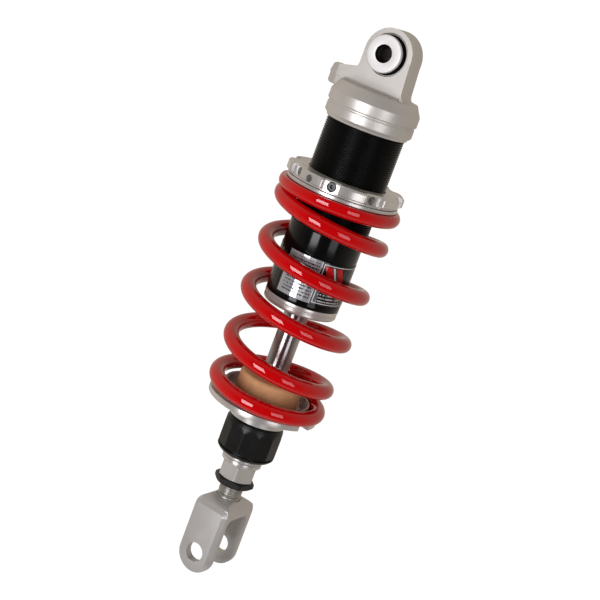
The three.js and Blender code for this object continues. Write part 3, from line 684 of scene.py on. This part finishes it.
def make_body():
    """The threaded upper part of the tube, and its smooth lower part with a recess for the label."""
    thread = threaded("body_thread_fine", THREAD_RADIUS, THREAD_PITCH, THREAD_DEPTH, THREAD_END, TUBE_TOP,
                      BORE_RADIUS, sides=160)
    stand_for(thread, "body_tube")
    top = THREAD_END - THREAD_GAP
    outline = [
        (BORE_RADIUS, top), (THREAD_RADIUS - 0.4, top), (SMOOTH_RADIUS, THREAD_END - 1.2),
        (SMOOTH_RADIUS, RECESS_TOP), (RECESS_RADIUS, RECESS_TOP), (RECESS_RADIUS, RECESS_BOTTOM),
        (SMOOTH_RADIUS, RECESS_BOTTOM), (SMOOTH_RADIUS, TUBE_BOTTOM), (BORE_RADIUS, TUBE_BOTTOM)]
    stand_for(revolved("body_sleeve_fine", outline, 192, edge=0.15), "body_tube", "black_gloss")


HEAD_TOP, HEAD_COLLAR, HEAD_BOTTOM, HEAD_RECESS = -150, -160.5, -166.7, -162.2
HEAD_BORE, HEAD_NOSE, HEAD_RADIUS, HEAD_GROOVE = 8.4, 21.7, 24.3, 23.5
WIPER_TOP, WIPER_FOOT, WIPER_RADIUS = -162.6, -165.8, 11.6


def make_seal_head():
    """The plug at the tube's lower end and the wiper seal in its recess."""
    outline = [
        (HEAD_BORE, HEAD_TOP), (HEAD_NOSE, HEAD_TOP), (HEAD_NOSE, HEAD_COLLAR), (HEAD_RADIUS, HEAD_COLLAR),
        (HEAD_RADIUS, -162.6), (HEAD_GROOVE, -163), (HEAD_GROOVE, -163.7), (24.1, -164.1), (24.1, -165.8),
        (23.3, HEAD_BOTTOM), (12, HEAD_BOTTOM), (12, HEAD_RECESS), (HEAD_BORE, HEAD_RECESS)]
    stand_for(revolved("seal_head_fine", outline, 160, edge=0.25), "seal_head")
    wiper = [
        (9, WIPER_TOP), (WIPER_RADIUS, WIPER_TOP), (WIPER_RADIUS, WIPER_FOOT), (10, WIPER_FOOT),
        (8.35, -167.2), (8.25, -165.6)]
    stand_for(revolved("wiper_seal_fine", wiper, 96, edge=0.15), "wiper_seal")


def make_rod():
    """The rod from inside the seal head down; its upper end is never seen."""
    bottom, _, radius = size("piston_rod")
    outline = [(0, HEAD_TOP), (radius, HEAD_TOP), (radius, bottom + 0.6), (radius - 0.6, bottom), (0, bottom)]
    stand_for(revolved("piston_rod_fine", outline, 96, edge=0.1), "piston_rod")


# ---------------- preload ring and upper seat

RING_BOTTOM, RING_TOP, _ = size("preload_ring")
RING_BORE, RING_FLOOR, RING_RIM, LOBE_RADIUS = 25.3, 33.8, 35.2, 37.9
RING_STEP, LOBE_EDGE = -85.7, -84.6
LOBES, LOBE_ANGLE, LOBE_HALF = 8, -53.5, 14.0            # angles in degrees
LOBE_PITCH = 360 / LOBES
SCREW_ANGLE = LOBE_ANGLE - LOBE_PITCH / 2
LOBE_BEVEL, BEVEL_ANGLE, LOBE_SKIRT = 1.2, 2, 1.4        # the bevel takes 2 degrees at a lobe's side
HOLE_HEIGHT, HOLE_RADIUS, HOLE_BOTTOM = -82.6, 2.6, 27.0
SCREW_HOLE, SCREW_HOLE_BOTTOM, PIN_HOLE, PIN_HOLE_BOTTOM = 3.1, 20, 2.2, 28
DRILLED_TO = 40
SEAT_STEP, SEAT_SPIGOT = -89, 29.4
SCREW_RADIUS, SCREW_TOP, SCREW_POINT, SCREW_SOCKET, SCREW_HEX = 2.8, 33, 27.7, 30.4, 1.55


def lobe_reach(angle):
    """Outer radius of the castellated ring at an angle: round lobes, flat floors between them."""
    half_pitch = LOBE_PITCH / 2
    from_middle = abs((math.degrees(angle) - LOBE_ANGLE + half_pitch) % LOBE_PITCH - half_pitch)
    if from_middle < LOBE_HALF:
        return LOBE_RADIUS - LOBE_BEVEL * max(0.0, from_middle - LOBE_HALF + BEVEL_ANGLE) / BEVEL_ANGLE
    return RING_FLOOR / math.cos(math.radians(half_pitch - from_middle))


def make_preload_ring():
    """The castellated ring, with a hole in each recess, one of them for the lock screw."""
    def lobed(radius, z, angle):
        if radius <= RING_RIM + 0.1 and z < RING_TOP - 0.01:
            return radius, z
        chamfer = max(0.0, LOBE_BEVEL - (RING_TOP - z))
        return min(radius, lobe_reach(angle) - chamfer), z

    skirt = LOBE_RADIUS - LOBE_SKIRT
    outline = [
        (RING_BORE, RING_TOP - 0.3), (RING_BORE + 0.3, RING_TOP), (31, RING_TOP),
        (LOBE_RADIUS - LOBE_BEVEL, RING_TOP), (LOBE_RADIUS, RING_TOP - LOBE_BEVEL),
        (LOBE_RADIUS, RING_TOP - 3.4), (LOBE_RADIUS, LOBE_EDGE), (skirt, LOBE_EDGE - 0.8), (skirt, RING_STEP),
        (RING_RIM, RING_STEP), (RING_RIM, RING_BOTTOM + 0.2), (RING_RIM - 0.2, RING_BOTTOM),
        (RING_BORE, RING_BOTTOM)]
    ring = revolved("preload_ring_fine", outline, 360, edge=0, shape=lobed)

    def drill(degrees, radius, depth):
        angle = math.radians(degrees)
        out = Vector((math.cos(angle), math.sin(angle), 0))
        start = out * depth + Vector((0, 0, HOLE_HEIGHT))
        combined(ring, bolt_hole(radius, DRILLED_TO - depth, out, start, sides=40), "DIFFERENCE")

    for i in range(1, LOBES):
        drill(SCREW_ANGLE + i * LOBE_PITCH, HOLE_RADIUS, HOLE_BOTTOM)
    drill(SCREW_ANGLE, SCREW_HOLE, SCREW_HOLE_BOTTOM)
    drill(LOBE_ANGLE - LOBE_PITCH, PIN_HOLE, PIN_HOLE_BOTTOM)
    stand_for(shaded(ring, 24), "preload_ring")


def make_upper_seat():
    bottom, top, radius = size("upper_spring_seat")
    outline = [
        (RING_BORE, top), (radius, top), (radius, SEAT_STEP), (SEAT_SPIGOT, SEAT_STEP),
        (SEAT_SPIGOT - 0.5, bottom), (RING_BORE, bottom)]
    stand_for(revolved("upper_spring_seat_fine", outline, 160, edge=0.25), "upper_spring_seat")


def make_lock_screw():
    """The grub screw, drawn upright at its distance from the axis and then laid along its hole."""
    outline = [
        (0, SCREW_TOP), (SCREW_RADIUS - 0.6, SCREW_TOP), (SCREW_RADIUS, SCREW_TOP - 0.6),
        (SCREW_RADIUS, SCREW_POINT + 0.5), (SCREW_RADIUS - 0.6, SCREW_POINT), (0, SCREW_POINT)]
    screw = revolved("ring_lock_screw_fine", outline, 64, edge=0.15)
    combined(screw, hexagon_cutter(SCREW_HEX, SCREW_SOCKET), "DIFFERENCE")
    turn = Matrix.Rotation(math.radians(SCREW_ANGLE), 4, "Z") @ Matrix.Rotation(math.pi / 2, 4, "Y")
    screw.data.transform(Matrix.Translation((0, 0, HOLE_HEIGHT * MM)) @ turn)
    stand_for(shaded(screw, 35), "ring_lock_screw", "dull_steel")


# ---------------- coil spring

COIL_RADIUS, WIRE, PITCH = 35.0, 5.0, 32.9               # WIRE is the wire's radius
COIL_TOP, COIL_BOTTOM = -92.5, -229.3
FIRST_TURN, LAST_TURN, RAMP, SHIFT, START_ANGLE = -0.45, 5.55, 1.6, 0.13, -64.0


def coil_height(turn):
    """Wire centre height: closed end coils, easing into the open pitch between them."""
    active = (COIL_TOP - COIL_BOTTOM) / PITCH
    middle = (FIRST_TURN + LAST_TURN) / 2 + SHIFT

    def travelled(start):
        x = min(1.0, max(0.0, (turn - start) / RAMP + 0.5))
        return RAMP * (x ** 3 - x ** 4 / 2) + max(turn - start - RAMP / 2, 0.0)

    return COIL_TOP - PITCH * (travelled(middle - active / 2) - travelled(middle + active / 2))


def coil_slope(turn):
    """Rise of the wire in millimetres a turn."""
    step = 0.001
    return (coil_height(turn + step) - coil_height(turn - step)) / (2 * step)


def make_spring():
    """The wire as rings of points round its centre line, ground flat where it passes its CAD box."""
    steps, sides = 420, 36
    low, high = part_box("coil_spring")
    points = []
    for k in range(steps + 1):
        turn = FIRST_TURN + (LAST_TURN - FIRST_TURN) * k / steps
        angle = math.radians(START_ANGLE) + turn * TAU
        outward = Vector((math.cos(angle), math.sin(angle), 0))
        once_round = COIL_RADIUS * TAU
        tangent = Vector((-math.sin(angle) * once_round, math.cos(angle) * once_round, coil_slope(turn)))
        upward = outward.cross(tangent.normalized())
        centre = outward * COIL_RADIUS + Vector((0, 0, coil_height(turn)))
        for i in range(sides):
            a = TAU * i / sides
            p = centre + (outward * math.cos(a) + upward * math.sin(a)) * WIRE
            p.z = min(high.z / MM, max(low.z / MM, p.z))
            points.append(tuple(p))
    ends = [tuple(range(sides)), tuple(reversed(range(steps * sides, (steps + 1) * sides)))]
    wire = new_object("coil_spring_fine", points, walls(steps + 1, sides) + ends, 30)
    spring = stand_for(wire, "coil_spring")
    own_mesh(spring)


# ---------------- bump stop and lower seat

STOP_BORE = 8.3
CUP_FLOOR, CUP_INNER, CUP_OUTER = -234.4, 27.4, 28.9
SEAT_FACE, SEAT_UNDERSIDE, SEAT_NECK = -232.8, -236.4, 19.5
SEAT_BORE, SEAT_SOCKET, SOCKET_ROOF = 8.6, 16.8, -241.2
SLOT_ANGLE, SLOT_WIDTH, SLOT_FROM, SLOT_TO, SLOT_LOW, SLOT_HIGH = -9.5, 10.0, 24.0, 60, -240, -215


def make_bump_stop():
    bottom, top, radius = size("bump_stop")
    outline = [
        (STOP_BORE, top), (19.4, top), (radius, top - 1.8), (radius, bottom + 1.2), (19.8, bottom),
        (STOP_BORE, bottom)]
    stand_for(revolved("bump_stop_fine", outline, 128, edge=1.2), "bump_stop")


def make_lower_seat():
    """The dished plate, slotted from its rim so that it slips over the rod."""
    bottom, rim, radius = size("lower_spring_seat")
    outline = [
        (SEAT_BORE, CUP_FLOOR), (CUP_INNER, CUP_FLOOR), (CUP_INNER, rim), (CUP_OUTER - 0.5, rim),
        (CUP_OUTER, rim - 1), (CUP_OUTER, SEAT_FACE), (radius, SEAT_FACE), (radius, SEAT_UNDERSIDE),
        (SEAT_NECK, SEAT_UNDERSIDE), (SEAT_NECK, bottom), (SEAT_SOCKET, bottom), (SEAT_SOCKET, SOCKET_ROOF),
        (SEAT_BORE, SOCKET_ROOF)]
    seat = revolved("lower_spring_seat_fine", outline, 160, edge=0.3)
    half = SLOT_WIDTH / 2
    outline = [(SLOT_FROM, -half), (SLOT_TO, -half), (SLOT_TO, half), (SLOT_FROM, half)]
    slot = extruded("slot", outline, SLOT_LOW, SLOT_HIGH, ALONG_Z)
    slot.data.transform(Matrix.Rotation(math.radians(SLOT_ANGLE), 4, "Z"))
    combined(seat, slot, "DIFFERENCE")
    stand_for(bevelled(seat, 0.25, 2, 40), "lower_spring_seat")


# ---------------- foot, knob and length adjuster

FOOT_TOP, FOOT_SHOULDER, FOOT_BOTTOM, FOOT_BORE = -241.5, -245.9, -274.4, 8.3
FOOT_FLANGE, FOOT_CORE, FOOT_END, FOOT_STEP = 16.5, 12.5, 11.6, -271.4
FOOT_SOCKET, FOOT_ROOF = 10, -261
RETAINER_BORE, WASHER_BORE, WASHER_ROUNDING = 11.9, 10, 0.45
KNOB_FACETS, KNOB_APOTHEM, KNOB_TURN, KNOB_BORE, FACETS_FROM = 12, 19.1, 28, 12.8, 15
KNOB_RADIUS, KNOB_SHOULDER, KNOB_GROOVE, GROOVE_RADIUS, LIP_RADIUS = 19.8, -252.8, -267.4, 18, 19.2


def make_foot():
    """The piece on the rod's lower end, with the retainer and the washer below the knob."""
    foot = [
        (FOOT_BORE, FOOT_TOP), (FOOT_FLANGE, FOOT_TOP), (FOOT_FLANGE, FOOT_SHOULDER),
        (FOOT_CORE, FOOT_SHOULDER), (FOOT_CORE, FOOT_STEP), (FOOT_END, FOOT_STEP), (FOOT_END, FOOT_BOTTOM),
        (FOOT_SOCKET, FOOT_BOTTOM), (FOOT_SOCKET, FOOT_ROOF - 1), (FOOT_BORE, FOOT_ROOF)]
    stand_for(revolved("rod_foot_fine", foot, 96, edge=0.2), "rod_foot")
    for name, bore in (("knob_retainer", RETAINER_BORE), ("adjuster_washer", WASHER_BORE)):
        low, high, radius = size(name)
        outline = ring_outline(bore, radius, low, high)
        stand_for(revolved(name + "_fine", outline, 96, edge=WASHER_ROUNDING), name)


def make_knob():
    """A domed knob with flat facets above a groove and a plain lip below it."""
    bottom, top, _ = size("rebound_knob")

    def faceted(r, z, angle):
        if r < FACETS_FROM or z < KNOB_GROOVE + 0.1:
            return r, z
        return min(r, polygon_radius(angle, KNOB_FACETS, KNOB_APOTHEM, math.radians(KNOB_TURN))), z

    dome = [(KNOB_BORE, top), (16.9, top), (18.2, -247.6), (19.2, -250)]
    side = [(KNOB_RADIUS, z) for z in (KNOB_SHOULDER, -256, -260, -264, KNOB_GROOVE + 0.3)]
    groove = [(GROOVE_RADIUS, KNOB_GROOVE), (GROOVE_RADIUS, KNOB_GROOVE - 0.9)]
    lip = [(LIP_RADIUS, KNOB_GROOVE - 1.2), (LIP_RADIUS, -269.4), (17.5, bottom), (KNOB_BORE, bottom)]
    outline = dome + side + groove + lip
    knob = revolved("rebound_knob_fine", outline, 240, edge=0.3, shape=faceted, smooth_angle=20)
    stand_for(knob, "rebound_knob", "knob_black")


HEX_TOP, HEX_BOTTOM, HEX_APOTHEM, HEX_TURN, HEX_SPIGOT = -278, -289, 11, 26, (9.7, -266)
HEX_CORNER, HEX_BLANK = 1.135, 1.2                       # both times the apothem
NUT_TOP, NUT_BOTTOM, NUT_APOTHEM, NUT_TURN = -289.3, -293.7, 12, 48.5


def hexagonal(name, apothem, bottom, top, bore, turn, chamfer, tilt, spigot=None):
    """A bored hexagon with coned corners; spigot is the (radius, height) of a round neck above it."""
    crown = apothem * chamfer

    def hexed(r, z, angle):
        if r < crown - 0.01 or (spigot and z > top + 0.05):
            return r, z
        side = polygon_radius(angle, 6, apothem, math.radians(turn), apothem * HEX_CORNER)
        if r <= crown + 0.01:
            return min(crown, side), z
        drop = max(0.0, side - crown) * tilt
        return side, (top - drop if z > (top + bottom) / 2 else bottom + drop)

    blank = apothem * HEX_BLANK
    outline = [
        (bore, top), (crown, top), (blank, top - 0.5), (blank, bottom + 0.5), (crown, bottom), (bore, bottom)]
    if spigot:
        radius, height = spigot
        outline = [(bore, height), (radius, height), (radius, top + 0.1)] + outline[1:]
    return revolved(name, outline, 192, edge=0, shape=hexed, smooth_angle=22)


STUD_RADIUS, STUD_BORE, STUD_TOP, STUD_ROOT, STUD_BOTTOM = 7.9, 8.3, -263, -302, -312
STUD_PITCH, STUD_DEPTH, STUD_CORE = 1.5, 0.75, 0.01      # the core is as good as solid


def make_length_adjuster():
    """The hexagon, the lock nut and the stud whose thread they run on."""
    adjuster = hexagonal("length_adjuster_fine", HEX_APOTHEM, HEX_BOTTOM, HEX_TOP, STUD_BORE, HEX_TURN,
                         0.985, 0.5, spigot=HEX_SPIGOT)
    stand_for(bevelled(adjuster, 0.15, 2, 22), "length_adjuster")
    nut = hexagonal("lock_nut_fine", NUT_APOTHEM, NUT_BOTTOM, NUT_TOP, STUD_BORE, NUT_TURN, 0.97, 0.55)
    stand_for(bevelled(nut, 0.15, 2, 22), "lock_nut")
    stud = threaded("clevis_stud_fine", STUD_RADIUS, STUD_PITCH, STUD_DEPTH, STUD_ROOT, STUD_TOP, STUD_CORE)
    stand_for(stud, "clevis_stud")
    top = STUD_ROOT - THREAD_GAP
    plain = [
        (0, top), (STUD_RADIUS - 0.7, top), (STUD_RADIUS, STUD_ROOT - 0.6), (STUD_RADIUS, STUD_BOTTOM),
        (0, STUD_BOTTOM)]
    stand_for(revolved("clevis_stud_root_fine", plain, 96, edge=0.2), "clevis_stud")


PANEL_TOP, PANEL_CORNER, PANEL_CHAMFER = -306.8, 5.0, 2.8
CROWN_RADIUS, CROWN_FLAT, CROWN_CORNER, CROWN_SPARE = 17.0, 5.0, 9.5, 8
FORK_SLOT_HALF, FORK_SLOT_TOP, FORK_SLOT_CORNER = 12.5, -313.5, 4.0
LOWER_BOLT_HEIGHT, LOWER_BOLT_RADIUS, FORGED_EDGE = -342.0, 6.4, 0.6
FORK_CUT, STUD_CUT, STUD_CUT_FROM, SLOT_SPARE = 60, 30, -325, 9


def ear_outline(half, top, corner, end_z):
    """Ear in X, Z: rounded upper corners, parallel sides and a round lower end."""
    outline = arc(half - corner, top - corner, corner, 0, 90, 12)
    outline += arc(corner - half, top - corner, corner, 90, 180, 12)
    return outline + arc(0, end_z, half, 180, 360, 40)


def make_clevis():
    """A fork with panelled faces and a crown rounded both ways, slotted along X."""
    bottom, top, half = size("clevis")
    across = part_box("clevis")[1].y / MM
    end_z = bottom + half
    panels = ear_outline(half, PANEL_TOP, PANEL_CORNER, end_z)
    fork = extruded("clevis_fine", panels, -across, across, ALONG_Y, inset=PANEL_CHAMFER)
    inner = across - PANEL_CHAMFER
    middle = ear_outline(half, top + 0.5, CROWN_CORNER, end_z)
    combined(fork, extruded("middle", middle, -inner, inner, ALONG_Y), "UNION")

    reach = math.degrees(math.asin((across - CROWN_FLAT) / CROWN_RADIUS)) + CROWN_SPARE
    centre = top - CROWN_RADIUS
    crown = [(across + 2, bottom - OVERHANG)]
    crown += arc(CROWN_FLAT, centre, CROWN_RADIUS, 90 - reach, 90)
    crown += arc(-CROWN_FLAT, centre, CROWN_RADIUS, 90, 90 + reach)
    crown += [(-across - 2, bottom - OVERHANG)]
    combined(fork, extruded("crown", crown, -half - OVERHANG, half + OVERHANG, ALONG_X), "INTERSECT")

    corner_y, corner_z = FORK_SLOT_HALF - FORK_SLOT_CORNER, FORK_SLOT_TOP - FORK_SLOT_CORNER
    below = bottom - SLOT_SPARE
    slot = [(FORK_SLOT_HALF, below)] + arc(corner_y, corner_z, FORK_SLOT_CORNER, 0, 90, 12)
    slot += arc(-corner_y, corner_z, FORK_SLOT_CORNER, 90, 180, 12) + [(-FORK_SLOT_HALF, below)]
    combined(fork, extruded("slot", slot, -half - OVERHANG, half + OVERHANG, ALONG_X), "DIFFERENCE")
    bolt = bolt_hole(LOWER_BOLT_RADIUS, FORK_CUT, (0, -1, 0), (0, FORK_CUT / 2, LOWER_BOLT_HEIGHT))
    combined(fork, bolt, "DIFFERENCE")
    combined(fork, bolt_hole(STUD_BORE, STUD_CUT, (0, 0, 1), (0, 0, STUD_CUT_FROM)), "DIFFERENCE")
    stand_for(bevelled(fork, FORGED_EDGE, 3, 24), "clevis", "forged_satin")


# ---------------- stage, light and camera


def view_axes():
    """Unit vectors of the view: toward the camera, its right and its up, before the roll."""
    a, e = math.radians(VIEW_AZIMUTH), math.radians(VIEW_ELEVATION)
    toward = Vector((math.sin(a) * math.cos(e), -math.cos(a) * math.cos(e), math.sin(e)))
    right = Vector((math.cos(a), math.sin(a), 0))
    return toward, right, toward.cross(right)


def make_camera():
    """The camera of the photo, turned about its line of sight by VIEW_ROLL."""
    toward, right, up = view_axes()
    roll = math.radians(VIEW_ROLL)
    camera_right = math.cos(roll) * right + math.sin(roll) * up
    camera_up = math.cos(roll) * up - math.sin(roll) * right
    camera = bpy.data.objects.new("camera", bpy.data.cameras.new("camera"))
    bpy.context.scene.collection.objects.link(camera)
    camera.data.lens = VIEW_LENS
    camera.data.sensor_width = VIEW_SENSOR
    camera.data.clip_start = VIEW_NEAR * MM
    place = (Vector((0, 0, AIM_HEIGHT)) + camera_right * AIM_SIDE + toward * VIEW_DISTANCE) * MM
    camera.matrix_world = Matrix((
        (camera_right.x, camera_up.x, toward.x, place.x),
        (camera_right.y, camera_up.y, toward.y, place.y),
        (camera_right.z, camera_up.z, toward.z, place.z),
        (0, 0, 0, 1)))
    bpy.context.scene.camera = camera


def make_softbox(name, azimuth, power):
    """A tall upright area light that faces the damper, its azimuth counted from the view's."""
    a = math.radians(VIEW_AZIMUTH + azimuth)
    toward = Vector((math.sin(a), -math.cos(a), 0))
    light = bpy.data.lights.new(name, "AREA")
    light.shape = "RECTANGLE"
    light.size = SOFTBOX_WIDTH
    light.size_y = SOFTBOX_TOP - SOFTBOX_BOTTOM
    light.energy = power
    light.color = SOFTBOX_TINT
    box = bpy.data.objects.new(name, light)
    bpy.context.scene.collection.objects.link(box)
    box.location = toward * SOFTBOX_DISTANCE + Vector((0, 0, (SOFTBOX_TOP + SOFTBOX_BOTTOM) / 2))
    box.rotation_euler = toward.to_track_quat("Z", "Y").to_euler()


def make_world():
    """A dim, warm room: dark in front of the object, brighter behind it; the camera sees plain white."""
    world = bpy.data.worlds.new("studio")
    bpy.context.scene.world = world
    world.use_nodes = True
    tree = world.node_tree
    tree.nodes.clear()
    toward, _, _ = view_axes()
    behind = -Vector((toward.x, toward.y, 0)).normalized()
    place = node(tree, "ShaderNodeTexCoord").outputs["Generated"]
    facing = node(tree, "ShaderNodeVectorMath", operation="DOT_PRODUCT")
    link(tree, place, facing.inputs[0])
    facing.inputs[1].default_value = behind
    rear = spread(tree, facing.outputs["Value"], ROOM_FRONT, ROOM_REAR, *ROOM_SPREAD)
    light = node(tree, "ShaderNodeBackground")
    light.inputs["Color"].default_value = ROOM_TINT
    link(tree, rear, light.inputs["Strength"])
    seen = node(tree, "ShaderNodeBackground")
    seen.inputs["Color"].default_value = (1, 1, 1, 1)
    seen.inputs["Strength"].default_value = BACKDROP
    rays = node(tree, "ShaderNodeLightPath")
    pick = node(tree, "ShaderNodeMixShader")
    link(tree, rays.outputs["Is Camera Ray"], pick.inputs["Fac"])
    link(tree, light.outputs["Background"], pick.inputs[1])
    link(tree, seen.outputs["Background"], pick.inputs[2])
    out = node(tree, "ShaderNodeOutputWorld")
    link(tree, pick.outputs["Shader"], out.inputs["Surface"])


def make_floor():
    """A pale disc well below the part, which hangs by its upper eye."""
    rim = arc(0, 0, FLOOR_RADIUS, 0, 360, 96)[:-1]
    floor = new_object("floor", [(x, y, FLOOR_HEIGHT) for x, y in rim], [tuple(range(len(rim)))])
    paint = bpy.data.materials.new("floor_paint")
    paint.use_nodes = True
    shader = paint.node_tree.nodes["Principled BSDF"]
    shader.inputs["Base Color"].default_value = FLOOR_TINT
    shader.inputs["Roughness"].default_value = FLOOR_ROUGH
    floor.data.materials.append(paint)


def make_studio():
    make_camera()
    make_world()
    make_floor()
    make_softbox("key_softbox", KEY_AZIMUTH, KEY_POWER)
    make_softbox("fill_softbox", FILL_AZIMUTH, FILL_POWER)
    bpy.context.scene.view_settings.view_transform = "Standard"


make_studio()
for cad_name, cad_object in frame["nodes"].items():
    cad_object.data.materials.clear()
    cad_object.data.materials.append(MATERIALS[SLOT_OF[cad_name]])
make_top_cap()
make_eye()
make_gas_plug()
make_body()
make_seal_head()
make_rod()
make_preload_ring()
make_upper_seat()
make_lock_screw()
make_spring()
make_bump_stop()
make_lower_seat()
make_foot()
make_knob()
make_length_adjuster()
make_clevis()
